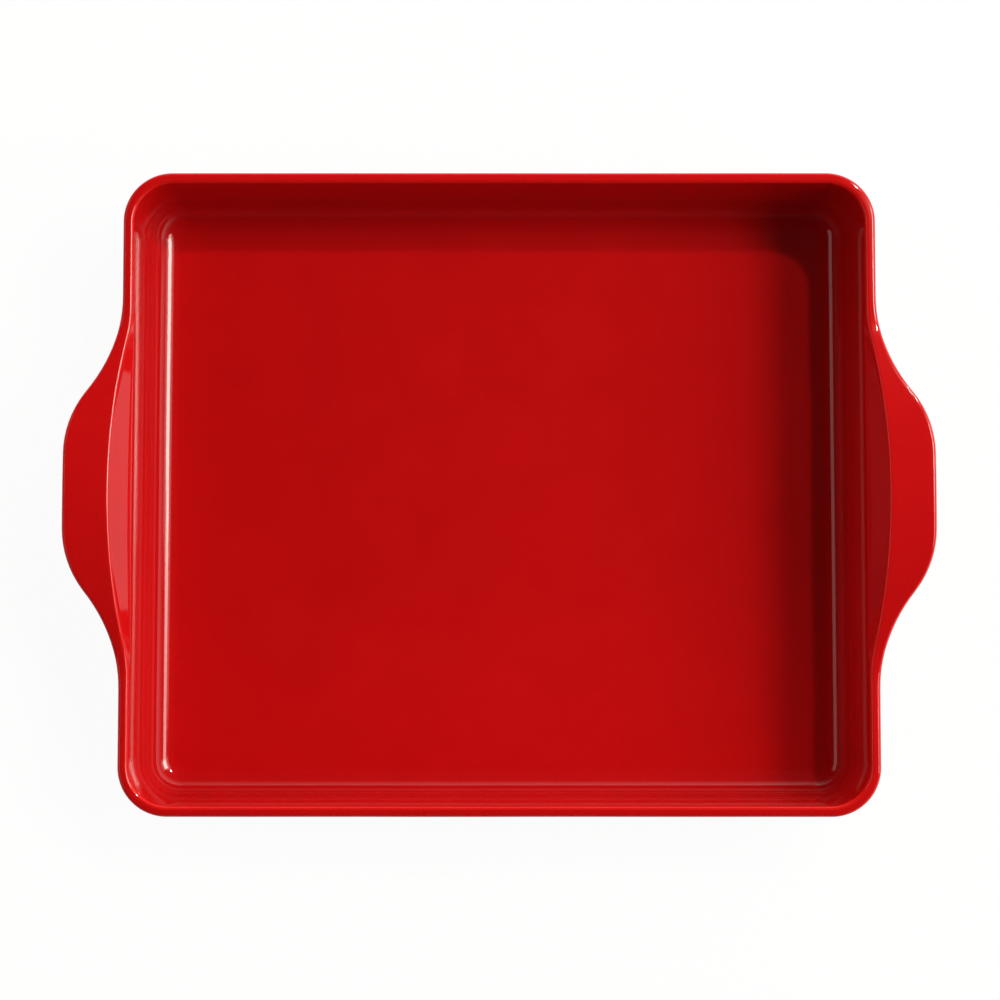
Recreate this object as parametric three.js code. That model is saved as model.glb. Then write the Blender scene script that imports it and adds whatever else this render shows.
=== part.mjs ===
// A rectangular glazed stoneware baking dish for focaccia, with a raised wing handle on each short side.
// Millimetres, +Z up, +X towards the right handle. The origin is on the table, under the middle of the dish.
// The real dish is one fired piece. Its sections are named as a potter names them: the flat floor, the four
// walls that rise from it, the rolled rim, the two handles that the rim grows into, and the bare foot ring.
import * as THREE from "three";

// Driving dimensions of the rim, seen from above
const rimLength = 354;
const rimWidth = 301.5;
const rimCornerRadius = 23;
const lipWidth = 5;

// Heights and thicknesses
const rimHeight = 58;
const rimBand = 9;
const rimRoot = 14;
const floorThickness = 7;
const footHeight = 2;

// Slope of the wall, and the rounding where it meets the floor inside and the base outside
const innerDraft = THREE.MathUtils.degToRad(3.5);
const outerDraft = THREE.MathUtils.degToRad(3);
const coveRadius = 16;
const coveRunOut = 1;
const floorCornerRadius = 2;
const heelRadius = 18;

// Rolled edge of the rim and of the handles
const lipOverhang = 0.6;
const lipFall = 0.5;
const lipEdgeRadius = 2;
const bandEdgeRadius = 1.8;
const armpitRadius = 12;

// Handles, seen from above: a straight grip, a convex tip arc and a concave flank arc on each side of it
const handleReach = 25.5;
const gripLength = 35;
const tipRadius = 48;
const flankRadius = 74;

// Flare inside each handle: the rim's inner edge rises and bows outwards to a ridge, and leaves a sloping panel
// over the wall, whose top stays level with the rim
const handleRise = 8.5;
const ridgeLength = 172;
const ridgeReach = 9.4;
const ridgeCrownShare = 0.85;
const flareLift = 3.5;
const flareEdgeRadius = 6;

// Foot ring under the base
const footWidth = 9;
const footMargin = 1.5;
const footTaper = 1;

// Smoothness
const mitreSteps = 4;
const gripSteps = 4;
const tipSteps = 6;
const flankSteps = 6;
const arcSteps = { edge: 4, band: 4, armpit: 5, flare: 3, heel: 6, cove: 7 };

// Places that follow from the sizes
const halfLength = rimLength / 2;
const halfWidth = rimWidth / 2;
const seamHeight = rimHeight - rimBand - rimRoot;
const floorTop = footHeight + floorThickness;
const innerInset = (height) => lipWidth + (rimHeight - height) * Math.tan(innerDraft);
const outerInset = (height) => lipOverhang + (rimHeight - height) * Math.tan(outerDraft);
const coveSetback = coveRadius * Math.tan((Math.PI / 2 - innerDraft) / 2);
const floorInset = innerInset(floorTop) + coveSetback + coveRunOut;
const heelSetback = heelRadius * Math.tan((Math.PI / 2 - outerDraft) / 2);
const footInset = outerInset(footHeight) + heelSetback + footMargin;

// An arc's sweep and its run along the edge, for a convex and a concave arc that meet and reach a given distance
const sweepOf = (reach, radii) => Math.acos(1 - reach / radii);
const flankSweep = sweepOf(handleReach, tipRadius + flankRadius);
const tipRun = tipRadius * Math.sin(flankSweep);
const flankRun = flankRadius * Math.sin(flankSweep);
const handleHalf = gripLength / 2 + tipRun + flankRun;
const ridgeSweep = 2 * Math.atan(ridgeReach / (ridgeLength / 2));
const ridgeRadii = ridgeLength / 2 / Math.sin(ridgeSweep);

// How far an edge stands out at a distance from the middle of the handle: flat, then convex, then concave to nothing
function ogee(distance, flat, reach, convexRadius, concaveRadius) {
  const sweep = sweepOf(reach, convexRadius + concaveRadius);
  const onConvex = distance - flat;
  const beforeEnd = flat + (convexRadius + concaveRadius) * Math.sin(sweep) - distance;
  if (onConvex <= 0) return reach;
  if (onConvex <= convexRadius * Math.sin(sweep)) {
    return reach - convexRadius + Math.sqrt(convexRadius ** 2 - onConvex ** 2);
  }
  return beforeEnd <= 0 ? 0 : concaveRadius - Math.sqrt(concaveRadius ** 2 - beforeEnd ** 2);
}
const wingReachAt = (y) => ogee(Math.abs(y), gripLength / 2, handleReach, tipRadius, flankRadius);
const ridgeReachAt = (y) => {
  const crown = ridgeRadii * ridgeCrownShare;
  return ogee(Math.abs(y), 0, ridgeReach, crown, ridgeRadii - crown);
};

// One corner of an outline: its place as inset from the rim's outside and height, its radius and its steps
const corner = (inset, height, radius = 0, steps = 0) => ({
  at: new THREE.Vector2(inset, height),
  radius,
  steps,
});

// The points of a closed outline whose corners are rounded by arcs, drawn as rational quadratic curves.
// Every outline runs counter-clockwise, with inset to the right and height upwards. An arc takes at most half of
// the edge to a corner that is rounded too.
function roundedOutline(corners) {
  const leastSetback = 0.2;
  const sharedEdge = 0.48;
  const wholeEdge = 0.96;
  return corners.flatMap(({ at, radius, steps }, i) => {
    if (steps === 0) return [at];
    const before = corners.at(i - 1);
    const after = corners[(i + 1) % corners.length];
    const toBefore = before.at.clone().sub(at);
    const toAfter = after.at.clone().sub(at);
    const halfTurn = (Math.PI - toBefore.angleTo(toAfter)) / 2;
    const room = (edge, end) => edge.length() * (end.steps > 0 ? sharedEdge : wholeEdge);
    const most = Math.min(room(toBefore, before), room(toAfter, after));
    const setback = Math.min(Math.max(radius * Math.tan(halfTurn), leastSetback), most);
    const start = at.clone().addScaledVector(toBefore.normalize(), setback);
    const end = at.clone().addScaledVector(toAfter.normalize(), setback);
    return Array.from({ length: steps + 1 }, (_, k) => {
      const t = k / steps;
      const weights = [(1 - t) ** 2, 2 * t * (1 - t) * Math.cos(halfTurn), t ** 2];
      const point = new THREE.Vector2();
      [start, at, end].forEach((p, n) => point.addScaledVector(p, weights[n]));
      return point.divideScalar(weights[0] + weights[1] + weights[2]);
    });
  });
}

// Outline of the rim, or of a handle where the outside reaches out and the inner edge rises and bows out with it.
// The rim falls outwards a little, and the handle is level.
function rimOutline(wingReach, ridgeBow) {
  const wingShare = wingReach / handleReach;
  const bowShare = ridgeBow / ridgeReach;
  const top = rimHeight + handleRise * bowShare;
  const underside = top - rimBand;
  const flareHeight = rimHeight - 2 * lipEdgeRadius + flareLift * bowShare;
  return roundedOutline([
    corner(innerInset(seamHeight), seamHeight),
    corner(innerInset(flareHeight), flareHeight, flareEdgeRadius, arcSteps.flare),
    corner(lipWidth - ridgeBow, top, lipEdgeRadius, arcSteps.edge),
    corner(-wingReach, top - lipFall * (1 - wingShare), bandEdgeRadius, arcSteps.band),
    corner(-wingReach, underside, bandEdgeRadius, arcSteps.band),
    corner(outerInset(underside), underside, armpitRadius, arcSteps.armpit),
    corner(outerInset(seamHeight), seamHeight),
  ]);
}

// Outline of a wall, from the seam under the rim to the edge of the floor
function wallOutline() {
  return roundedOutline([
    corner(innerInset(seamHeight), seamHeight),
    corner(outerInset(seamHeight), seamHeight),
    corner(outerInset(footHeight), footHeight, heelRadius, arcSteps.heel),
    corner(floorInset, footHeight),
    corner(floorInset, floorTop),
    corner(innerInset(floorTop), floorTop, coveRadius, arcSteps.cove),
  ]);
}

// Outline of the foot ring, narrower where it stands on the table
function footOutline() {
  return [
    new THREE.Vector2(footInset, footHeight),
    new THREE.Vector2(footInset + footTaper, 0),
    new THREE.Vector2(footInset + footWidth - footTaper, 0),
    new THREE.Vector2(footInset + footWidth, footHeight),
  ];
}

// The dish's corners tighten from the rim to the floor
const cornerRadiusAt = (inset) =>
  THREE.MathUtils.lerp(rimCornerRadius, floorCornerRadius, Math.min(inset / floorInset, 1));

// A station is a place on the way round the dish, and gives the point there for any inset and height
function cornerStation(signX, signY, turn) {
  return (inset, height) => {
    const radius = cornerRadiusAt(inset);
    return new THREE.Vector3(
      signX * (halfLength - inset - radius + radius * Math.cos(turn)),
      signY * (halfWidth - inset - radius + radius * Math.sin(turn)),
      height,
    );
  };
}
const sideStation = (signX, y) => (inset, height) => new THREE.Vector3(signX * (halfLength - inset), y, height);

// Turns round a corner: it starts at the short side, the walls meet halfway, and it ends at the long side
const shortSide = 0;
const mitre = Math.PI / 4;
const longSide = Math.PI / 2;
function cornerStations(signX, signY, from, to) {
  const steps = Math.round((mitreSteps * Math.abs(to - from)) / mitre);
  return Array.from({ length: steps + 1 }, (_, k) =>
    cornerStation(signX, signY, THREE.MathUtils.lerp(from, to, k / steps)),
  );
}

// The stations along a long or a short side, counter-clockwise from above, with a share of the corner at each end
function longStations(signY, cornerEnd) {
  return [
    ...cornerStations(signY, signY, cornerEnd, longSide),
    ...cornerStations(-signY, signY, longSide, cornerEnd),
  ];
}
function shortStations(signX, cornerEnd) {
  return [
    ...cornerStations(signX, -signX, cornerEnd, shortSide),
    ...cornerStations(signX, signX, shortSide, cornerEnd),
  ];
}
const roundStations = () => [...longStations(1, shortSide), ...longStations(-1, shortSide)];

// A solid skin through sections of equal count. A closed loft joins its last section to its first, and an open
// one is capped at both ends by the faces of its outline.
function loft(sections, capOutlines = null) {
  const count = sections[0].length;
  const faces = [];
  const spans = capOutlines ? sections.length - 1 : sections.length;
  for (let s = 0; s < spans; s++) {
    const here = s * count;
    const next = ((s + 1) % sections.length) * count;
    for (let i = 0; i < count; i++) {
      const j = (i + 1) % count;
      faces.push(here + i, next + j, next + i, here + i, here + j, next + j);
    }
  }
  if (capOutlines) {
    const last = (sections.length - 1) * count;
    const [first, final] = capOutlines.map((outline) => THREE.ShapeUtils.triangulateShape(outline, []));
    first.forEach(([a, b, c]) => faces.push(a, c, b));
    final.forEach(([a, b, c]) => faces.push(last + a, last + b, last + c));
  }
  const points = sections.flat().flatMap((p) => [p.x, p.y, p.z]);
  const geometry = new THREE.BufferGeometry();
  geometry.setAttribute("position", new THREE.Float32BufferAttribute(points, 3));
  geometry.setIndex(faces);
  geometry.computeVertexNormals();
  return geometry;
}
const sectionAt = (station, outline) => outline.map((p) => station(p.x, p.y));

// Flat floor slab inside the wall
function floorGeometry() {
  const outline = roundStations().map((station) => {
    const p = station(floorInset, 0);
    return new THREE.Vector2(p.x, p.y);
  });
  const slab = new THREE.ExtrudeGeometry(new THREE.Shape(outline), { depth: floorThickness, bevelEnabled: false });
  return slab.translate(0, 0, footHeight);
}

// One wall, mitred to its neighbours in the corners
function wallGeometry(stations) {
  const outline = wallOutline();
  return loft(
    stations.map((station) => sectionAt(station, outline)),
    [outline, outline],
  );
}

// Half of the rim, from one handle round two corners to the other handle
function rimGeometry(signY) {
  const stations = [
    sideStation(signY, signY * handleHalf),
    ...longStations(signY, shortSide),
    sideStation(-signY, signY * handleHalf),
  ];
  const outline = rimOutline(0, 0);
  return loft(
    stations.map((station) => sectionAt(station, outline)),
    [outline, outline],
  );
}

// Distances from the middle of a handle to its sections, from the middle to the end
function handleDistances() {
  const run = (from, length, steps) => Array.from({ length: steps }, (_, k) => from + (length * (k + 1)) / steps);
  return [
    ...run(0, gripLength / 2, gripSteps),
    ...run(gripLength / 2, tipRun, tipSteps),
    ...run(gripLength / 2 + tipRun, flankRun, flankSteps),
  ];
}

// A wing handle with the flare on its inside
function handleGeometry(signX) {
  const distances = handleDistances();
  const lines = [...distances.map((d) => -d).reverse(), 0, ...distances].map((y) => signX * y);
  const outlines = lines.map((y) => rimOutline(wingReachAt(y), ridgeReachAt(y)));
  const sections = lines.map((y, i) => sectionAt(sideStation(signX, y), outlines[i]));
  return loft(sections, [outlines[0], outlines.at(-1)]);
}

const redGlaze = new THREE.MeshStandardMaterial({ color: 0xb80d0d, roughness: 0.12, metalness: 0 });
const bareClay = new THREE.MeshStandardMaterial({ color: 0xd8c0a0, roughness: 0.85, metalness: 0 });

function section(name, geometry, material) {
  const mesh = new THREE.Mesh(geometry, material);
  mesh.name = name;
  return mesh;
}

const footSections = roundStations().map((station) => sectionAt(station, footOutline()));

const dish = new THREE.Group();
dish.add(
  section("floor", floorGeometry(), redGlaze),
  section("front_wall", wallGeometry(longStations(-1, mitre)), redGlaze),
  section("back_wall", wallGeometry(longStations(1, mitre)), redGlaze),
  section("left_wall", wallGeometry(shortStations(-1, mitre)), redGlaze),
  section("right_wall", wallGeometry(shortStations(1, mitre)), redGlaze),
  section("front_rim", rimGeometry(-1), redGlaze),
  section("back_rim", rimGeometry(1), redGlaze),
  section("left_handle", handleGeometry(-1), redGlaze),
  section("right_handle", handleGeometry(1), redGlaze),
  section("foot_ring", loft(footSections), bareClay),
);
export default dish;
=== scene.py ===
"""A red glazed stoneware dish for focaccia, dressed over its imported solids.

The dish is one fired form. A net of points is bent by a Geometry Nodes tree into the floor, cove, walls,
rolled rim and two raised wing handles, and a bare clay foot ring stands under it. Sizes are in metres, in the
solids' frame.
"""

import math

import bpy
from bpy.props import FloatProperty, FloatVectorProperty, PointerProperty
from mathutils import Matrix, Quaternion, Vector


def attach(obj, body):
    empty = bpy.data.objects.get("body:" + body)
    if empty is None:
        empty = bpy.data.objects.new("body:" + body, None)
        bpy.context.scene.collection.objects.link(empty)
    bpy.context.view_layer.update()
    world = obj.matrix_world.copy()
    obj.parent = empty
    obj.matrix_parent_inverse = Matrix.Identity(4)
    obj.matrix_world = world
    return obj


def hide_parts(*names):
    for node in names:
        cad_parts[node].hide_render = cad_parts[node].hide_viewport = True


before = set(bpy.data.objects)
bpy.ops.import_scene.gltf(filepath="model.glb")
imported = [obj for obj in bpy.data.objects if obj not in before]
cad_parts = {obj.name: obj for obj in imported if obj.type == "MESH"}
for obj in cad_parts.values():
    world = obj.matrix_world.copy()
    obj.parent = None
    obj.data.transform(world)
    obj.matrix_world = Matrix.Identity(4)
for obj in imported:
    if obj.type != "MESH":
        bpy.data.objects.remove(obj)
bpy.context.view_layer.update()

bl_info = {
    "name": "Focaccia Dish",
    "version": (1, 0, 0),
    "blender": (4, 5, 0),
    "location": "View3D > Sidebar > Dish",
    "description": "Builds a glazed stoneware baking dish with wing handles, and a plain studio round it",
    "category": "Add Mesh",
}

MM = 0.001
GLAZED_NODES = (
    "floor",
    "front_wall",
    "back_wall",
    "left_wall",
    "right_wall",
    "front_rim",
    "back_rim",
    "left_handle",
    "right_handle",
)


def linear(hex_colour):
    """An sRGB hex colour as linear red, green and blue."""
    shares = [int(hex_colour[i : i + 2], 16) / 255 for i in (1, 3, 5)]
    return tuple(c / 12.92 if c <= 0.04045 else ((c + 0.055) / 1.055) ** 2.4 for c in shares)


def length(name, description, millimetres):
    """A length that a user can change, given in millimetres and held in metres."""
    return FloatProperty(
        name=name,
        description=description,
        default=millimetres * MM,
        precision=4,
        subtype="DISTANCE",
        unit="LENGTH",
    )


def angle(name, description, degrees):
    """An angle that a user can change, given in degrees and held in radians."""
    return FloatProperty(
        name=name,
        description=description,
        default=math.radians(degrees),
        subtype="ANGLE",
        unit="ROTATION",
    )


def colour(name, description, hex_colour):
    """A colour that a user can change, given as sRGB hex."""
    return FloatVectorProperty(
        name=name,
        description=description,
        default=linear(hex_colour),
        subtype="COLOR",
        min=0,
        max=1,
    )


def level(name, description, white):
    """A lamp's brightness that a user can change, where white paper in this light is 1."""
    return FloatProperty(name=name, description=description, default=white, min=0)


class DishSizes(bpy.types.PropertyGroup):
    """Sizes of the glazed dish"""

    rim_length: length("Rim length", "Outside of the rim from left to right, without the handles", 354)
    rim_width: length("Rim width", "Outside of the rim from front to back", 301.5)
    rim_height: length("Rim height", "Top of the rim above the table", 58)
    rim_corner: length("Rim corner", "Radius of the rim's outside corners", 23)
    rim_band: length("Rim band", "Depth of the band round the rim and of the handles", 9)
    rim_root: length("Rim root", "Depth below the band at which the wall starts to lean out to a handle", 14)
    lip_width: length("Lip width", "Width of the rim seen from above", 5)
    lip_overhang: length("Lip overhang", "How far the band stands out from the wall", 0.6)
    lip_fall: length("Lip fall", "How far the rim falls from its inner to its outer edge", 0.5)
    lip_edge: length("Lip edge", "Radius of the rim's inner edge and of the handles' ridge", 2)
    band_edge: length("Band edge", "Radius of the band's outer edges", 1.8)
    armpit: length("Armpit", "Radius under a handle, where it leaves the wall", 12)
    inner_draft: angle("Inner draft", "Slope of the wall's inside", 3.5)
    outer_draft: angle("Outer draft", "Slope of the wall's outside", 3)
    floor_thickness: length("Floor thickness", "Thickness of the floor", 7)
    foot_height: length("Foot height", "Height of the floor's underside above the table", 2)
    cove: length("Cove", "Radius between the floor and the walls", 16)
    cove_run_out: length("Cove run-out", "Flat edge outside the floor, before the cove", 1)
    floor_corner: length("Floor corner", "Radius of the floor's corners", 2)
    heel: length("Heel", "Radius between the walls and the base outside", 18)
    handle_reach: length("Handle reach", "How far a handle stands out from the rim", 25.5)
    handle_rise: length("Handle rise", "How far a handle stands above the rim", 8.5)
    grip_length: length("Grip length", "Straight run in the middle of a handle's edge", 35)
    tip_radius: length("Tip radius", "Convex arc beside the grip", 48)
    flank_radius: length("Flank radius", "Concave arc from the tip to the rim", 74)
    ridge_length: length("Ridge length", "Length over which the inner edge bows out at a handle", 172)
    ridge_reach: length("Ridge reach", "How far the inner edge bows out at a handle", 9.4)
    ridge_crown: FloatProperty(
        name="Ridge crown",
        description="Share of the ridge's length that is convex",
        default=0.85,
        min=0.1,
        max=0.95,
        subtype="FACTOR",
    )
    flare_lift: length("Flare lift", "How far the wall's top rises under the panel inside a handle", 3.5)
    flare_edge: length("Flare edge", "Radius between the sloping panel and the wall", 6)
    kiln_warp: length("Kiln warp", "How far drying and firing move the clay", 0.1)

    @property
    def floor_top(self):
        return self.foot_height + self.floor_thickness

    @property
    def floor_inset(self):
        setback = self.cove * math.tan((math.pi / 2 - self.inner_draft) / 2)
        return self.inner_inset(self.floor_top) + setback + self.cove_run_out

    def inner_inset(self, height):
        return self.lip_width + (self.rim_height - height) * math.tan(self.inner_draft)

    def outer_inset(self, height):
        return self.lip_overhang + (self.rim_height - height) * math.tan(self.outer_draft)


class FootSizes(bpy.types.PropertyGroup):
    """Sizes of the bare foot ring"""

    length: length("Length", "Middle line of the ring from left to right", 300.8)
    width: length("Width", "Middle line of the ring from front to back", 248.3)
    corner: length("Corner", "Radius of the middle line's corners", 5)
    root: length("Root", "Width of the ring where it joins the base", 9)
    tread: length("Tread", "Width of the ring where it stands on the table", 7)
    bury: length("Bury", "How deep the ring's top sits in the base", 0.4)
    edge: length("Edge", "Radius of the ring's worn edges", 0.5)


class DishFinish(bpy.types.PropertyGroup):
    """Colours of the glaze and of the bare clay"""

    glaze: colour("Glaze", "Fired red glaze at its full thickness", "#BA0E10")
    glaze_deep: colour("Glaze, deep", "The same glaze in its thicker drifts", "#B00B0D")
    glaze_thin: colour("Glaze, thin", "The glaze where it drew back from an edge", "#C8160F")
    glaze_pool: colour("Glaze, pooled", "The glaze where it ran together", "#A6090C")
    clay: colour("Clay", "Bare fired stoneware", "#D8C0A0")
    clay_dark: colour("Clay, dark", "The iron in the clay", "#B89A76")
    grog: colour("Grog", "Pale grains of ground pot in the clay", "#EADCC4")


class StudioLook(bpy.types.PropertyGroup):
    """The floor, the camera and the light"""

    floor: colour("Floor", "Pale floor under the dish", "#F4F4F4")
    lamp: colour("Lamp", "Colour of the soft lights", "#FFF8EE")
    key_level: level("Key level", "Brightness of the softbox behind the right handle", 2.2)
    right_level: level("Right level", "Brightness of the softbox in front of the right handle", 4.2)
    lamp_level: level("Lamp level", "Brightness of the bright strip above the softboxes", 18.0)
    left_level: level("Left level", "Brightness of the reflector on the left", 1.0)
    fill_level: level("Fill level", "Brightness of the low fill on the left", 2.0)
    back_level: level("Back level", "Brightness of the low strip at the back", 8.5)
    bar_level: level("Bar level", "Brightness of the long bar over the back right corner", 10.0)
    flash_level: level("Flash level", "Brightness of the small bare lamp at the bar's near end", 300.0)
    camera_tilt: angle("Camera tilt", "Angle of the camera from straight down", 3.9)
    camera_aim: angle("Camera aim", "How far below the dish's middle the camera looks", 0.228)
    camera_distance: length("Camera distance", "From the camera to the middle of the rim", 984)
    camera_side: length("Camera side", "How far to the right of the dish's middle the camera stands", 0.33)
    camera_view: angle("Camera view", "Angle that the square picture covers", 26.66)


def add(tree, kind, inputs=None, **settings):
    """One node with its settings, its inputs filled from values, sockets or other nodes."""
    node = tree.nodes.new(kind)
    for setting, value in settings.items():
        setattr(node, setting, value)
    for key, value in (inputs or {}).items():
        if isinstance(value, bpy.types.Node):
            value = next(s for s in value.outputs if s.enabled)
        if isinstance(value, bpy.types.NodeSocket):
            tree.links.new(value, node.inputs[key])
        else:
            node.inputs[key].default_value = value
    return node


def shape_tree(name, inputs, output):
    """A Geometry Nodes tree with named inputs and one output, and its two end nodes."""
    tree = bpy.data.node_groups.new(name, "GeometryNodeTree")
    for label, kind in inputs.items():
        tree.interface.new_socket(label, in_out="INPUT", socket_type=kind)
    tree.interface.new_socket(output[0], in_out="OUTPUT", socket_type=output[1])
    return tree, add(tree, "NodeGroupInput"), add(tree, "NodeGroupOutput")


def blank_piece(name, points, faces):
    """A new object at the origin with a mesh of its own."""
    mesh = bpy.data.meshes.new(name)
    mesh.from_pydata(points, [], faces)
    piece = bpy.data.objects.new(name, mesh)
    bpy.context.scene.collection.objects.link(piece)
    return piece


def shape_piece(piece, tree, values):
    """Runs a shape tree on a piece with the given inputs, and keeps the result as the piece's plain mesh."""
    modifier = piece.modifiers.new(tree.name, "NODES")
    modifier.node_group = tree
    for item in tree.interface.items_tree:
        if item.name in values and item.in_out == "INPUT":
            modifier[item.identifier] = values[item.name]
    graph = bpy.context.evaluated_depsgraph_get()
    shaped = bpy.data.meshes.new_from_object(piece.evaluated_get(graph))
    blank = piece.data
    piece.modifiers.clear()
    piece.data = shaped
    bpy.data.meshes.remove(blank)
    shaped.name = piece.name


class Bend:
    """A corner of the dish's section: its place, its rounding, and how the glaze lies on it.

    steps is how many faces the rounding has, and run how many lie between it and the next corner.
    """

    def __init__(self, inset, height, radius=0.0, steps=0, run=1, thin=0.0, pool=0.0):
        self.at = Vector((inset, height))
        self.radius = radius
        self.steps = steps
        self.run = run
        self.thin = thin
        self.pool = pool


def rounded_section(bends):
    """Points of an open section as (inset, height), with the glaze's thinning and pooling at each.

    The count depends only on the steps and runs, so sections of different sizes can be mixed point by point.
    """
    shared_room = 0.48
    own_room = 0.96
    least_setback = 0.2 * MM
    ends = []
    for i, bend in enumerate(bends):
        if not bend.steps:
            ends.append((bend.at, bend.at))
            continue
        arms = [bends[i - 1], bends[i + 1]]
        ways = [other.at - bend.at for other in arms]
        rooms = [way.length * (shared_room if other.steps else own_room) for way, other in zip(ways, arms)]
        half_turn = (math.pi - ways[0].angle(ways[1])) / 2
        setback = min(max(bend.radius * math.tan(half_turn), least_setback), *rooms)
        ends.append(tuple(bend.at + way.normalized() * setback for way in ways))
    points = []
    for i, bend in enumerate(bends):
        start, end = ends[i]
        chord = (end - start).length
        apex = 2 * (bend.at - (start + end) / 2).length
        weight = chord / math.hypot(chord, apex) if bend.steps else 1
        for k in range(bend.steps + 1):
            t = k / max(bend.steps, 1)
            shares = ((1 - t) ** 2, 2 * t * (1 - t) * weight, t**2)
            place = (start * shares[0] + bend.at * shares[1] + end * shares[2]) / sum(shares)
            swell = math.sin(math.pi * t)
            points.append((place, bend.thin * swell, bend.pool * swell))
        if i + 1 < len(bends):
            following = ends[i + 1][0]
            for k in range(1, bend.run):
                points.append((end.lerp(following, k / bend.run), 0.0, 0.0))
    return points


def dish_section(sizes, wing, bow):
    """The dish's section from a line inside the floor's edge, over the rim, to the same line under the base.

    wing is how far a handle reaches out there, and bow how far the rim's inner edge bows out as it rises.
    """
    share = bow / sizes.ridge_reach
    fall = sizes.lip_fall * (1 - wing / sizes.handle_reach)
    seam = sizes.rim_height - sizes.rim_band - sizes.rim_root
    top = sizes.rim_height + sizes.handle_rise * share
    underside = top - sizes.rim_band
    flare_height = sizes.rim_height - 2 * sizes.lip_edge + sizes.flare_lift * share
    base = sizes.foot_height
    middle_inset = 70 * MM
    wall_ease = 30 * MM
    return rounded_section(
        [
            Bend(middle_inset, sizes.floor_top, run=6),
            Bend(sizes.inner_inset(sizes.floor_top), sizes.floor_top, sizes.cove, steps=26, run=4, pool=1.0),
            Bend(sizes.inner_inset(seam), seam, wall_ease, steps=5, run=4),
            Bend(sizes.inner_inset(flare_height), flare_height, sizes.flare_edge, steps=8, run=5),
            Bend(sizes.lip_width - bow, top, sizes.lip_edge, steps=10, run=8, thin=1.0),
            Bend(-wing, top - fall, sizes.band_edge, steps=10, run=2, thin=0.6),
            Bend(-wing, underside, sizes.band_edge, steps=10, run=6, thin=0.6),
            Bend(sizes.outer_inset(underside), underside, sizes.armpit, steps=12, run=6, pool=0.6),
            Bend(sizes.outer_inset(base), base, sizes.heel, steps=18, run=6),
            Bend(middle_inset, base),
        ]
    )


def dish_stations():
    """Places round the dish, counter-clockwise: a share of each half side, and the way outwards."""
    long_steps, short_steps, corner_steps = 24, 72, 24
    stations = []
    quarters = [(1, 1), (-1, 1), (-1, -1), (1, -1)]
    for quarter, (sx, sy) in enumerate(quarters):
        for k in range(corner_steps + 1):
            turn = math.pi / 2 * (quarter + k / corner_steps)
            stations.append(((sx, sy), (math.cos(turn), math.sin(turn))))
        nx, ny = quarters[(quarter + 1) % 4]
        steps = long_steps if ny == sy else short_steps
        turn = math.pi / 2 * (quarter + 1)
        for k in range(1, steps):
            t = k / steps
            place = (sx + (nx - sx) * t, sy + (ny - sy) * t)
            stations.append((place, (math.cos(turn), math.sin(turn))))
    return stations


def dish_blank(sizes):
    """The net that the dish is shaped from, with each point's place in the section and round the dish."""
    plain = dish_section(sizes, 0.0, 0.0)
    winged = dish_section(sizes, sizes.handle_reach, 0.0)
    flared = dish_section(sizes, sizes.handle_reach, sizes.ridge_reach)
    stations = dish_stations()
    rows = len(plain)
    count = len(stations)
    faces = []
    for s in range(count):
        here = s * rows
        on = (s + 1) % count * rows
        faces.extend((here + p, here + p + 1, on + p + 1, on + p) for p in range(rows - 1))
    faces.append([s * rows for s in range(count)])
    faces.append([s * rows + rows - 1 for s in reversed(range(count))])
    piece = blank_piece("glazed_dish", [(0, 0, 0)] * (rows * count), faces)
    vectors = {"place": [], "lean": [], "rim_section": [], "wing_section": [], "flare_shift": []}
    floats = {"glaze_thin": [], "glaze_pool": []}
    for place, lean in stations:
        for bare, wing, flare in zip(plain, winged, flared):
            vectors["place"].extend((*place, 0))
            vectors["lean"].extend((*lean, 0))
            vectors["rim_section"].extend((*bare[0], 0))
            vectors["wing_section"].extend((*wing[0], 0))
            vectors["flare_shift"].extend((*(flare[0] - wing[0]), 0))
            floats["glaze_thin"].append(bare[1])
            floats["glaze_pool"].append(bare[2])
    for name, values in vectors.items():
        piece.data.attributes.new(name, "FLOAT_VECTOR", "POINT").data.foreach_set("vector", values)
    for name, values in floats.items():
        piece.data.attributes.new(name, "FLOAT", "POINT").data.foreach_set("value", values)
    return piece, tuple(vectors)


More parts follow.
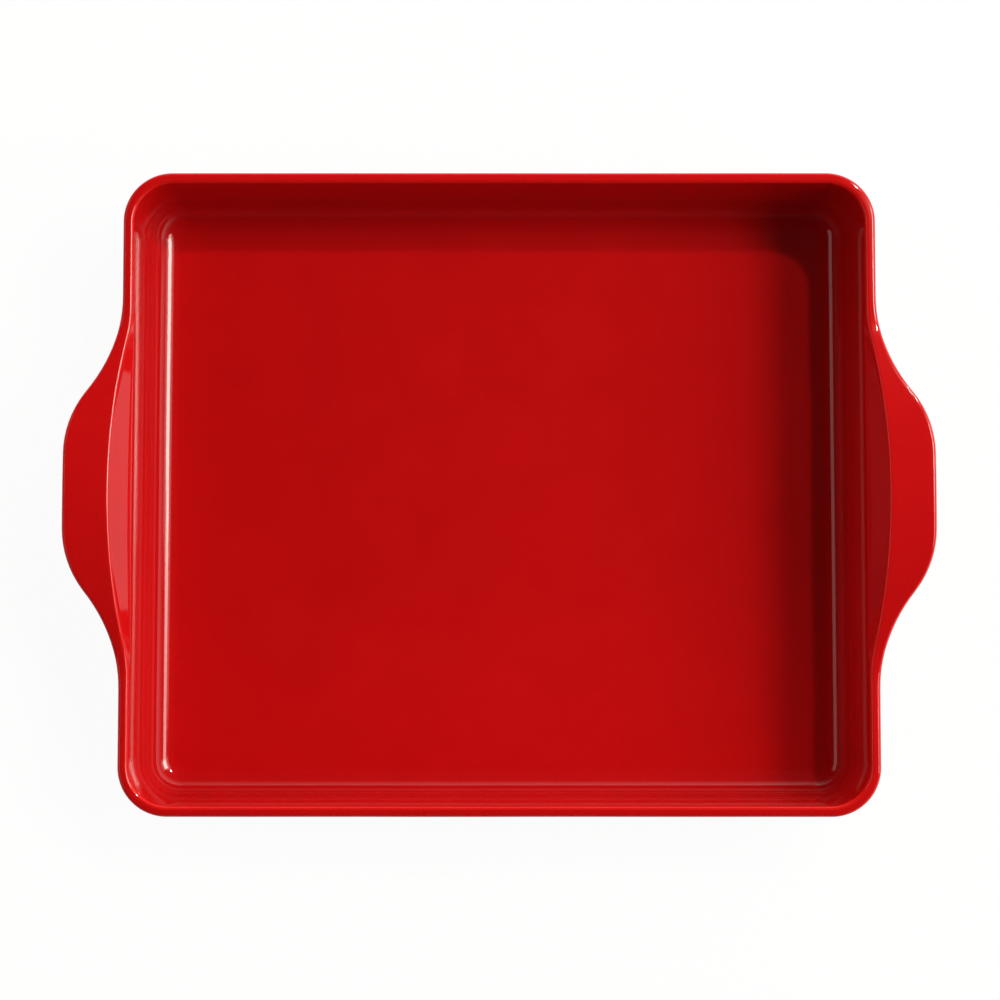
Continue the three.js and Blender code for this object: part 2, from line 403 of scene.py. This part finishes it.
def ogee_tree():
    """How far a handle's edge stands out at a distance from its middle: flat, convex, then concave."""
    number = "NodeSocketFloat"
    tree, given, made = shape_tree(
        "Handle edge",
        {"Distance": number, "Flat": number, "Reach": number, "Convex": number, "Concave": number},
        ("Stand Out", number),
    )
    ask = given.outputs
    radii = add(tree, "ShaderNodeMath", {0: ask["Convex"], 1: ask["Concave"]}, operation="ADD")
    share = add(tree, "ShaderNodeMath", {0: ask["Reach"], 1: radii}, operation="DIVIDE")
    cosine = add(tree, "ShaderNodeMath", {0: 1.0, 1: share}, operation="SUBTRACT")
    sweep = add(tree, "ShaderNodeMath", {0: cosine}, operation="ARCCOSINE")
    sine = add(tree, "ShaderNodeMath", {0: sweep}, operation="SINE")
    tip_run = add(tree, "ShaderNodeMath", {0: ask["Convex"], 1: sine}, operation="MULTIPLY")
    end = add(tree, "ShaderNodeMath", {0: radii, 1: sine, 2: ask["Flat"]}, operation="MULTIPLY_ADD")
    past_flat = add(tree, "ShaderNodeMath", {0: ask["Distance"], 1: ask["Flat"]}, operation="SUBTRACT")
    on_tip = add(tree, "ShaderNodeMath", {0: past_flat, 1: 0.0}, operation="MAXIMUM")
    to_end = add(tree, "ShaderNodeMath", {0: end, 1: ask["Distance"]}, operation="SUBTRACT")
    on_flank = add(tree, "ShaderNodeMath", {0: to_end, 1: 0.0}, operation="MAXIMUM")

    tip_square = add(tree, "ShaderNodeMath", {0: ask["Convex"], 1: 2.0}, operation="POWER")
    tip_away = add(tree, "ShaderNodeMath", {0: on_tip, 1: 2.0}, operation="POWER")
    tip_left = add(tree, "ShaderNodeMath", {0: tip_square, 1: tip_away}, operation="SUBTRACT")
    tip_depth = add(tree, "ShaderNodeMath", {0: tip_left}, operation="SQRT")
    tip_middle = add(tree, "ShaderNodeMath", {0: ask["Reach"], 1: ask["Convex"]}, operation="SUBTRACT")
    tip = add(tree, "ShaderNodeMath", {0: tip_middle, 1: tip_depth}, operation="ADD")

    flank_square = add(tree, "ShaderNodeMath", {0: ask["Concave"], 1: 2.0}, operation="POWER")
    flank_away = add(tree, "ShaderNodeMath", {0: on_flank, 1: 2.0}, operation="POWER")
    flank_left = add(tree, "ShaderNodeMath", {0: flank_square, 1: flank_away}, operation="SUBTRACT")
    flank_depth = add(tree, "ShaderNodeMath", {0: flank_left}, operation="SQRT")
    flank = add(tree, "ShaderNodeMath", {0: ask["Concave"], 1: flank_depth}, operation="SUBTRACT")

    before = add(tree, "ShaderNodeMath", {0: on_tip, 1: tip_run}, operation="LESS_THAN")
    choice = add(tree, "GeometryNodeSwitch", {0: before, 1: flank, 2: tip}, input_type="FLOAT")
    tree.links.new(choice.outputs[0], made.inputs[0])
    return tree


def dish_tree():
    """Bends the dish's net: rounded corners all round, and a wing handle with its flare at each end."""
    number = "NodeSocketFloat"
    tree, given, made = shape_tree(
        "Dish form",
        {
            "Net": "NodeSocketGeometry",
            "Rim Length": number,
            "Rim Width": number,
            "Rim Corner": number,
            "Floor Corner": number,
            "Floor Inset": number,
            "Handle Reach": number,
            "Grip Length": number,
            "Tip Radius": number,
            "Flank Radius": number,
            "Ridge Reach": number,
            "Ridge Crown": number,
            "Ridge Tail": number,
            "Kiln Warp": number,
            "Glaze": "NodeSocketMaterial",
        },
        ("Dish", "NodeSocketGeometry"),
    )
    ask = given.outputs
    place, lean, rim_section, wing_section, flare_shift = (
        add(tree, "GeometryNodeInputNamedAttribute", {"Name": name}, data_type="FLOAT_VECTOR")
        for name in ("place", "lean", "rim_section", "wing_section", "flare_shift")
    )
    inset = add(tree, "ShaderNodeSeparateXYZ", {0: rim_section})
    radius = add(
        tree,
        "ShaderNodeMapRange",
        {
            "Value": inset,
            "From Max": ask["Floor Inset"],
            "To Min": ask["Rim Corner"],
            "To Max": ask["Floor Corner"],
        },
    )
    margin = add(tree, "ShaderNodeMath", {0: inset, 1: radius}, operation="ADD")
    sides = add(tree, "ShaderNodeCombineXYZ", {0: ask["Rim Length"], 1: ask["Rim Width"]})
    half_sides = add(tree, "ShaderNodeVectorMath", {0: sides, "Scale": 0.5}, operation="SCALE")
    centres = add(tree, "ShaderNodeVectorMath", {0: half_sides, 1: margin}, operation="SUBTRACT")
    centre = add(tree, "ShaderNodeVectorMath", {0: place, 1: centres}, operation="MULTIPLY")
    plan = add(tree, "ShaderNodeVectorMath", {0: lean, 1: radius, 2: centre}, operation="MULTIPLY_ADD")

    across = add(tree, "ShaderNodeSeparateXYZ", {0: plan})
    distance = add(tree, "ShaderNodeMath", {0: across.outputs["Y"]}, operation="ABSOLUTE")
    half_grip = add(tree, "ShaderNodeMath", {0: ask["Grip Length"], 1: 0.5}, operation="MULTIPLY")
    edge = ogee_tree()
    wing = add(
        tree,
        "GeometryNodeGroup",
        node_tree=edge,
        inputs={
            "Distance": distance,
            "Flat": half_grip,
            "Reach": ask["Handle Reach"],
            "Convex": ask["Tip Radius"],
            "Concave": ask["Flank Radius"],
        },
    )
    ridge = add(
        tree,
        "GeometryNodeGroup",
        node_tree=edge,
        inputs={
            "Distance": distance,
            "Flat": 0.0,
            "Reach": ask["Ridge Reach"],
            "Convex": ask["Ridge Crown"],
            "Concave": ask["Ridge Tail"],
        },
    )
    wing_share = add(tree, "ShaderNodeMath", {0: wing, 1: ask["Handle Reach"]}, operation="DIVIDE")
    ridge_share = add(tree, "ShaderNodeMath", {0: ridge, 1: ask["Ridge Reach"]}, operation="DIVIDE")
    wing_change = add(tree, "ShaderNodeVectorMath", {0: wing_section, 1: rim_section}, operation="SUBTRACT")
    wing_part = add(
        tree,
        "ShaderNodeVectorMath",
        {0: wing_change, 1: wing_share, 2: rim_section},
        operation="MULTIPLY_ADD",
    )
    section = add(
        tree,
        "ShaderNodeVectorMath",
        {0: flare_shift, 1: ridge_share, 2: wing_part},
        operation="MULTIPLY_ADD",
    )
    at = add(tree, "ShaderNodeSeparateXYZ", {0: section})
    outwards = add(tree, "ShaderNodeMath", {0: inset, 1: at.outputs["X"]}, operation="SUBTRACT")
    moved = add(tree, "ShaderNodeVectorMath", {0: lean, 1: outwards, 2: plan}, operation="MULTIPLY_ADD")
    lift = add(tree, "ShaderNodeCombineXYZ", {2: at.outputs["Y"]})
    form = add(tree, "ShaderNodeVectorMath", {0: moved, 1: lift}, operation="ADD")

    # The clay moves a little as it dries and is fired, and least near the foot
    warp_size = 60 * MM
    still_below = 3 * MM
    free_above = 30 * MM
    noise_middle = (0.5, 0.5, 0.5)
    drift = add(tree, "ShaderNodeTexNoise", {"Vector": form, "Scale": 1 / warp_size, "Detail": 1.0})
    sway = add(
        tree,
        "ShaderNodeVectorMath",
        {0: drift.outputs["Color"], 1: noise_middle},
        operation="SUBTRACT",
    )
    freedom = add(
        tree,
        "ShaderNodeMapRange",
        {
            "Value": at.outputs["Y"],
            "From Min": still_below,
            "From Max": free_above,
            "To Max": ask["Kiln Warp"],
        },
    )
    warp = add(tree, "ShaderNodeVectorMath", {0: sway, "Scale": freedom}, operation="SCALE")
    warped = add(tree, "ShaderNodeVectorMath", {0: form, 1: warp}, operation="ADD")

    shaped = add(tree, "GeometryNodeSetPosition", {"Geometry": ask["Net"], "Position": warped})
    smooth = add(tree, "GeometryNodeSetShadeSmooth", {"Geometry": shaped})
    real = add(tree, "GeometryNodeRealizeInstances", {"Geometry": smooth})
    glazed = add(tree, "GeometryNodeSetMaterial", {"Geometry": real, "Material": ask["Glaze"]})
    tree.links.new(glazed.outputs[0], made.inputs[0])
    return tree


def foot_tree():
    """Sweeps the foot's worn section along a rounded rectangle."""
    number = "NodeSocketFloat"
    tree, given, made = shape_tree(
        "Foot form",
        {
            "Blank": "NodeSocketGeometry",
            "Length": number,
            "Width": number,
            "Corner": number,
            "Height": number,
            "Root": number,
            "Tread": number,
            "Edge": number,
            "Clay": "NodeSocketMaterial",
        },
        ("Foot", "NodeSocketGeometry"),
    )
    ask = given.outputs
    corner_steps = 12
    edge_steps = 4
    sides = add(
        tree,
        "GeometryNodeCurvePrimitiveQuadrilateral",
        {"Width": ask["Length"], "Height": ask["Width"]},
    )
    path = add(
        tree,
        "GeometryNodeFilletCurve",
        {"Curve": sides, "Radius": ask["Corner"], "Count": corner_steps, "Limit Radius": True},
        mode="POLY",
    )
    upright = add(tree, "GeometryNodeSetCurveNormal", {"Curve": path}, mode="Z_UP")
    wedge = add(
        tree,
        "GeometryNodeCurvePrimitiveQuadrilateral",
        {"Height": ask["Height"], "Bottom Width": ask["Root"], "Top Width": ask["Tread"], "Offset": 0.0},
        mode="TRAPEZOID",
    )
    worn = add(
        tree,
        "GeometryNodeFilletCurve",
        {"Curve": wedge, "Radius": ask["Edge"], "Count": edge_steps, "Limit Radius": True},
        mode="POLY",
    )
    swept = add(tree, "GeometryNodeCurveToMesh", {"Curve": upright, "Profile Curve": worn})
    half = add(tree, "ShaderNodeMath", {0: ask["Height"], 1: 0.5}, operation="MULTIPLY")
    lift = add(tree, "ShaderNodeCombineXYZ", {2: half})
    stood = add(tree, "GeometryNodeSetPosition", {"Geometry": swept, "Offset": lift})
    smooth = add(tree, "GeometryNodeSetShadeSmooth", {"Geometry": stood})
    real = add(tree, "GeometryNodeRealizeInstances", {"Geometry": smooth})
    bare = add(tree, "GeometryNodeSetMaterial", {"Geometry": real, "Material": ask["Clay"]})
    tree.links.new(bare.outputs[0], made.inputs[0])
    return tree


def glazed_stoneware(finish):
    """Stoneware dipped in a red gloss glaze and fired: a deep even colour under a clear, slightly wavy gloss.

    The eye sees sharp reflections that waver, and a colour that drifts a little, warmer where the glaze drew
    back from an edge and darker where it ran together.
    """
    drift_size = 26 * MM
    edge_share = 0.6
    wave_size = 28 * MM
    wave_height = 0.012 * MM
    peel_size = 2.2 * MM
    peel_height = 0.0015 * MM
    sharpest = 0.05
    softest = 0.09
    material = bpy.data.materials.new("red_glazed_stoneware")
    material.use_nodes = True
    tree = material.node_tree
    tree.nodes.clear()
    spot = add(tree, "ShaderNodeTexCoord").outputs["Object"]
    thin = add(tree, "ShaderNodeAttribute", attribute_name="glaze_thin").outputs["Fac"]
    pool = add(tree, "ShaderNodeAttribute", attribute_name="glaze_pool").outputs["Fac"]
    drifts = add(tree, "ShaderNodeTexNoise", {"Vector": spot, "Scale": 1 / drift_size, "Detail": 3.0})
    body = add(
        tree,
        "ShaderNodeMix",
        {0: drifts.outputs["Fac"], 6: (*finish.glaze_deep, 1), 7: (*finish.glaze, 1)},
        data_type="RGBA",
    )
    thinned = add(tree, "ShaderNodeMath", {0: thin, 1: edge_share}, operation="MULTIPLY")
    drawn = add(tree, "ShaderNodeMix", {0: thinned, 6: body, 7: (*finish.glaze_thin, 1)}, data_type="RGBA")
    gathered = add(tree, "ShaderNodeMath", {0: pool, 1: edge_share}, operation="MULTIPLY")
    pooled = add(tree, "ShaderNodeMix", {0: gathered, 6: drawn, 7: (*finish.glaze_pool, 1)}, data_type="RGBA")

    # Slow waves in the poured glaze, and the fine orange peel that firing leaves
    waves = add(tree, "ShaderNodeTexNoise", {"Vector": spot, "Scale": 1 / wave_size, "Detail": 1.0})
    wavy = add(
        tree,
        "ShaderNodeBump",
        {"Strength": 1.0, "Distance": wave_height, "Height": waves.outputs["Fac"]},
    )
    peel = add(tree, "ShaderNodeTexNoise", {"Vector": spot, "Scale": 1 / peel_size, "Detail": 2.0})
    surface = add(
        tree,
        "ShaderNodeBump",
        {"Strength": 1.0, "Distance": peel_height, "Height": peel.outputs["Fac"], "Normal": wavy},
    )
    gloss = add(
        tree,
        "ShaderNodeMapRange",
        {"Value": drifts.outputs["Fac"], "To Min": sharpest, "To Max": softest},
    )
    shader = add(
        tree,
        "ShaderNodeBsdfPrincipled",
        {"Base Color": pooled, "Roughness": gloss, "IOR": 1.52, "Normal": surface},
    )
    add(tree, "ShaderNodeOutputMaterial", {"Surface": shader})
    return material


def bare_stoneware(finish):
    """Unglazed stoneware wiped clean before firing and ground flat: a dry, matt buff with iron and grog.

    The grog's grains are about 0.8 mm across, drawn a little coarser than in the clay so that they show.
    """
    cloud_size = 9 * MM
    grain_spacing = 1.6 * MM
    grain_core = 0.18
    grain_rim = 0.3
    grain_share = 0.6
    grit_size = 0.9 * MM
    grit_height = 0.08 * MM
    material = bpy.data.materials.new("bare_stoneware_clay")
    material.use_nodes = True
    tree = material.node_tree
    tree.nodes.clear()
    spot = add(tree, "ShaderNodeTexCoord").outputs["Object"]
    clouds = add(tree, "ShaderNodeTexNoise", {"Vector": spot, "Scale": 1 / cloud_size, "Detail": 4.0})
    body = add(
        tree,
        "ShaderNodeMix",
        {0: clouds.outputs["Fac"], 6: (*finish.clay_dark, 1), 7: (*finish.clay, 1)},
        data_type="RGBA",
    )
    grains = add(tree, "ShaderNodeTexVoronoi", {"Vector": spot, "Scale": 1 / grain_spacing})
    specks = add(
        tree,
        "ShaderNodeMapRange",
        {
            "Value": grains.outputs["Distance"],
            "From Min": grain_core,
            "From Max": grain_rim,
            "To Min": grain_share,
            "To Max": 0.0,
        },
    )
    flecked = add(tree, "ShaderNodeMix", {0: specks, 6: body, 7: (*finish.grog, 1)}, data_type="RGBA")
    grit = add(tree, "ShaderNodeTexNoise", {"Vector": spot, "Scale": 1 / grit_size, "Detail": 3.0})
    rough = add(
        tree,
        "ShaderNodeBump",
        {"Strength": 0.7, "Distance": grit_height, "Height": grit.outputs["Fac"]},
    )
    shader = add(
        tree,
        "ShaderNodeBsdfPrincipled",
        {"Base Color": flecked, "Roughness": 0.88, "IOR": 1.5, "Normal": rough},
    )
    add(tree, "ShaderNodeOutputMaterial", {"Surface": shader})
    return material


def hang_panel(look, name, brightness, at, size, roll=0, lights=True, mirrored=True):
    """Hangs a panel of light round the dish. A brightness of 1 is that of white paper in this light.

    at is its bearing from +X and its height above the floor, and size its width and height as the dish sees
    them, in degrees, as roll is. It may light the colour under the gloss, be mirrored by the gloss, or both.
    """
    distance = 4.5
    aim = Vector((0.0, 0.0, 0.03))
    turn, rise = map(math.radians, at)
    wide, high = map(math.radians, size)
    way = Vector((math.cos(rise) * math.cos(turn), math.cos(rise) * math.sin(turn), math.sin(rise)))
    data = bpy.data.lights.new(name, "AREA")
    data.shape = "RECTANGLE"
    data.size = 2 * distance * math.cos(rise) * math.tan(wide / 2)
    data.size_y = 2 * distance * math.tan(high / 2)
    data.energy = brightness * math.pi * data.size * data.size_y
    data.color = look.lamp
    lamp = bpy.data.objects.new(name, data)
    lamp.location = aim + way * distance
    facing = (-way).to_track_quat("-Z", "Y")
    lamp.rotation_euler = (facing @ Quaternion((0, 0, 1), math.radians(roll))).to_euler()
    lamp.visible_diffuse = lights
    lamp.visible_glossy = mirrored
    bpy.context.scene.collection.objects.link(lamp)


class FOCACCIA_DISH_OT_shell(bpy.types.Operator):
    """Build the glazed dish: floor, cove, walls, rolled rim and both handles in one fired form"""

    bl_idname = "focaccia_dish.shell"
    bl_label = "Glazed dish"

    def execute(self, context):
        sizes = context.scene.dish_sizes
        ridge_half = sizes.ridge_length / 2
        ridge_radii = ridge_half / math.sin(2 * math.atan(sizes.ridge_reach / ridge_half))
        piece, shaping = dish_blank(sizes)
        shape_piece(
            piece,
            dish_tree(),
            {
                "Rim Length": sizes.rim_length,
                "Rim Width": sizes.rim_width,
                "Rim Corner": sizes.rim_corner,
                "Floor Corner": sizes.floor_corner,
                "Floor Inset": sizes.floor_inset,
                "Handle Reach": sizes.handle_reach,
                "Grip Length": sizes.grip_length,
                "Tip Radius": sizes.tip_radius,
                "Flank Radius": sizes.flank_radius,
                "Ridge Reach": sizes.ridge_reach,
                "Ridge Crown": ridge_radii * sizes.ridge_crown,
                "Ridge Tail": ridge_radii * (1 - sizes.ridge_crown),
                "Kiln Warp": 2 * sizes.kiln_warp,
                "Glaze": glazed_stoneware(context.scene.dish_finish),
            },
        )
        for name in shaping:
            piece.data.attributes.remove(piece.data.attributes[name])
        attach(piece, "root")
        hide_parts(*GLAZED_NODES)
        return {"FINISHED"}


class FOCACCIA_DISH_OT_foot(bpy.types.Operator):
    """Build the bare clay ring that the dish stands on"""

    bl_idname = "focaccia_dish.foot"
    bl_label = "Foot ring"

    def execute(self, context):
        foot = context.scene.foot_sizes
        piece = blank_piece("bare_foot_ring", [], [])
        shape_piece(
            piece,
            foot_tree(),
            {
                "Length": foot.length,
                "Width": foot.width,
                "Corner": foot.corner,
                "Height": context.scene.dish_sizes.foot_height + foot.bury,
                "Root": foot.root,
                "Tread": foot.tread,
                "Edge": foot.edge,
                "Clay": bare_stoneware(context.scene.dish_finish),
            },
        )
        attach(piece, "root")
        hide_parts("foot_ring")
        return {"FINISHED"}


class FOCACCIA_DISH_OT_studio(bpy.types.Operator):
    """Set the pale floor, the soft lights, the surroundings and the camera"""

    bl_idname = "focaccia_dish.studio"
    bl_label = "Studio"

    def execute(self, context):
        look = context.scene.studio_look
        self.lay_floor(look)
        self.set_surroundings(context.scene)
        self.set_lights(look)
        self.set_camera(context.scene, look)
        context.scene.view_settings.view_transform = "Standard"
        return {"FINISHED"}

    def lay_floor(self, look):
        reach = 40.0
        glow_share = 0.95
        corners = [(-reach, -reach, 0), (reach, -reach, 0), (reach, reach, 0), (-reach, reach, 0)]
        floor = blank_piece("studio_floor", corners, [(0, 1, 2, 3)])
        material = bpy.data.materials.new("pale_studio_floor")
        material.use_nodes = True
        tree = material.node_tree
        tree.nodes.clear()
        ray = add(tree, "ShaderNodeLightPath").outputs
        seen = add(
            tree,
            "ShaderNodeMath",
            {0: ray["Is Camera Ray"], 1: ray["Is Glossy Ray"]},
            operation="ADD",
        )
        shown = add(tree, "ShaderNodeMath", {0: seen, 1: ray["Is Transmission Ray"]}, operation="ADD")
        share = add(tree, "ShaderNodeMath", {0: shown, 1: glow_share}, operation="MULTIPLY", use_clamp=True)
        paper = add(tree, "ShaderNodeBsdfDiffuse", {"Color": (*look.floor, 1)})
        glow = add(tree, "ShaderNodeEmission", {"Color": (1, 1, 1, 1), "Strength": 1.0})
        both = add(tree, "ShaderNodeMixShader", {0: share, 1: paper, 2: glow})
        add(tree, "ShaderNodeOutputMaterial", {"Surface": both})
        floor.data.materials.append(material)

    def set_surroundings(self, scene):
        # A glow low over the floor on the right and at the back, which fades upwards and to the left
        brightest_way = Vector((0.87, 0.5, 0.0))
        fade_from, fade_to = 0.8, -0.2
        low_until, high_from = 0.2, 0.55
        dim, bright = 0.05, 1.1
        world = bpy.data.worlds.new("studio_surroundings")
        world.use_nodes = True
        tree = world.node_tree
        tree.nodes.clear()
        view = add(tree, "ShaderNodeTexCoord").outputs["Generated"]
        way = add(tree, "ShaderNodeSeparateXYZ", {0: view})
        nearness = add(tree, "ShaderNodeVectorMath", {0: view, 1: brightest_way}, operation="DOT_PRODUCT")
        from_right = add(
            tree,
            "ShaderNodeMapRange",
            {"Value": nearness, "From Min": fade_to, "From Max": fade_from, "To Min": dim, "To Max": bright},
            interpolation_type="SMOOTHSTEP",
        )
        low = add(
            tree,
            "ShaderNodeMapRange",
            {
                "Value": way.outputs["Z"],
                "From Min": low_until,
                "From Max": high_from,
                "To Min": 1.0,
                "To Max": dim,
            },
            interpolation_type="SMOOTHSTEP",
        )
        glow = add(tree, "ShaderNodeMath", {0: from_right, 1: low}, operation="MULTIPLY")
        sky = add(tree, "ShaderNodeBackground", {"Color": (1, 1, 1, 1), "Strength": glow})
        add(tree, "ShaderNodeOutputWorld", {"Surface": sky})
        scene.world = world

    def set_lights(self, look):
        strip = look.lamp_level
        hang_panel(look, "key_softbox", look.key_level, at=(18, 34), size=(44, 26), mirrored=False)
        hang_panel(look, "key_lamp", strip, at=(18, 48), size=(26, 12))
        # The key lamp's soft edges, which show in the gloss alone
        hang_panel(look, "key_glow", 0.25 * strip, at=(18, 48), size=(31, 18), lights=False)
        hang_panel(look, "key_halo", 0.1 * strip, at=(18, 48), size=(38, 32), lights=False)
        hang_panel(look, "right_softbox", look.right_level, at=(-18, 32), size=(40, 24), mirrored=False)
        hang_panel(look, "right_lamp", 0.4 * strip, at=(-4, 48), size=(18, 12))
        hang_panel(look, "left_reflector", look.left_level, at=(175, 42), size=(60, 14))
        hang_panel(look, "left_fill", look.fill_level, at=(180, 22), size=(90, 16), mirrored=False)
        hang_panel(look, "back_strip", look.back_level, at=(90, 10), size=(84, 10), mirrored=False)
        hang_panel(
            look,
            "back_bar",
            look.bar_level,
            at=(26.9, 40.5),
            size=(48.5, 2.6),
            roll=52,
            mirrored=False,
        )
        hang_panel(look, "flash", look.flash_level, at=(49.3, 55), size=(5, 2.8))

    def set_camera(self, scene, look):
        data = bpy.data.cameras.new("camera_above")
        data.sensor_fit = "HORIZONTAL"
        data.angle = look.camera_view
        camera = bpy.data.objects.new("camera_above", data)
        target = Vector((look.camera_side, 0.0, scene.dish_sizes.rim_height))
        back = Vector((0.0, -math.sin(look.camera_tilt), math.cos(look.camera_tilt)))
        camera.location = target + back * look.camera_distance
        camera.rotation_euler = (look.camera_tilt - look.camera_aim, 0.0, 0.0)
        scene.collection.objects.link(camera)
        scene.camera = camera


class FOCACCIA_DISH_PT_panel(bpy.types.Panel):
    """The dish's sizes, finishes and studio"""

    bl_idname = "FOCACCIA_DISH_PT_panel"
    bl_label = "Focaccia Dish"
    bl_space_type = "VIEW_3D"
    bl_region_type = "UI"
    bl_category = "Dish"

    def draw(self, context):
        for operator, group in BUILD_ORDER:
            box = self.layout.box()
            box.operator(operator.bl_idname)
            holder = getattr(context.scene, group)
            for name in holder.__annotations__:
                box.prop(holder, name)
        for name in context.scene.dish_finish.__annotations__:
            self.layout.prop(context.scene.dish_finish, name)


GROUPS = {
    "dish_sizes": DishSizes,
    "foot_sizes": FootSizes,
    "dish_finish": DishFinish,
    "studio_look": StudioLook,
}
BUILD_ORDER = (
    (FOCACCIA_DISH_OT_shell, "dish_sizes"),
    (FOCACCIA_DISH_OT_foot, "foot_sizes"),
    (FOCACCIA_DISH_OT_studio, "studio_look"),
)
CLASSES = (*GROUPS.values(), *(operator for operator, _ in BUILD_ORDER), FOCACCIA_DISH_PT_panel)


def register():
    for cls in CLASSES:
        bpy.utils.register_class(cls)
    for name, group in GROUPS.items():
        setattr(bpy.types.Scene, name, PointerProperty(type=group))


def unregister():
    for name in GROUPS:
        delattr(bpy.types.Scene, name)
    for cls in reversed(CLASSES):
        bpy.utils.unregister_class(cls)


def main():
    register()
    bpy.ops.focaccia_dish.shell()
    bpy.ops.focaccia_dish.foot()
    bpy.ops.focaccia_dish.studio()


if __name__ == "__main__":
    main()
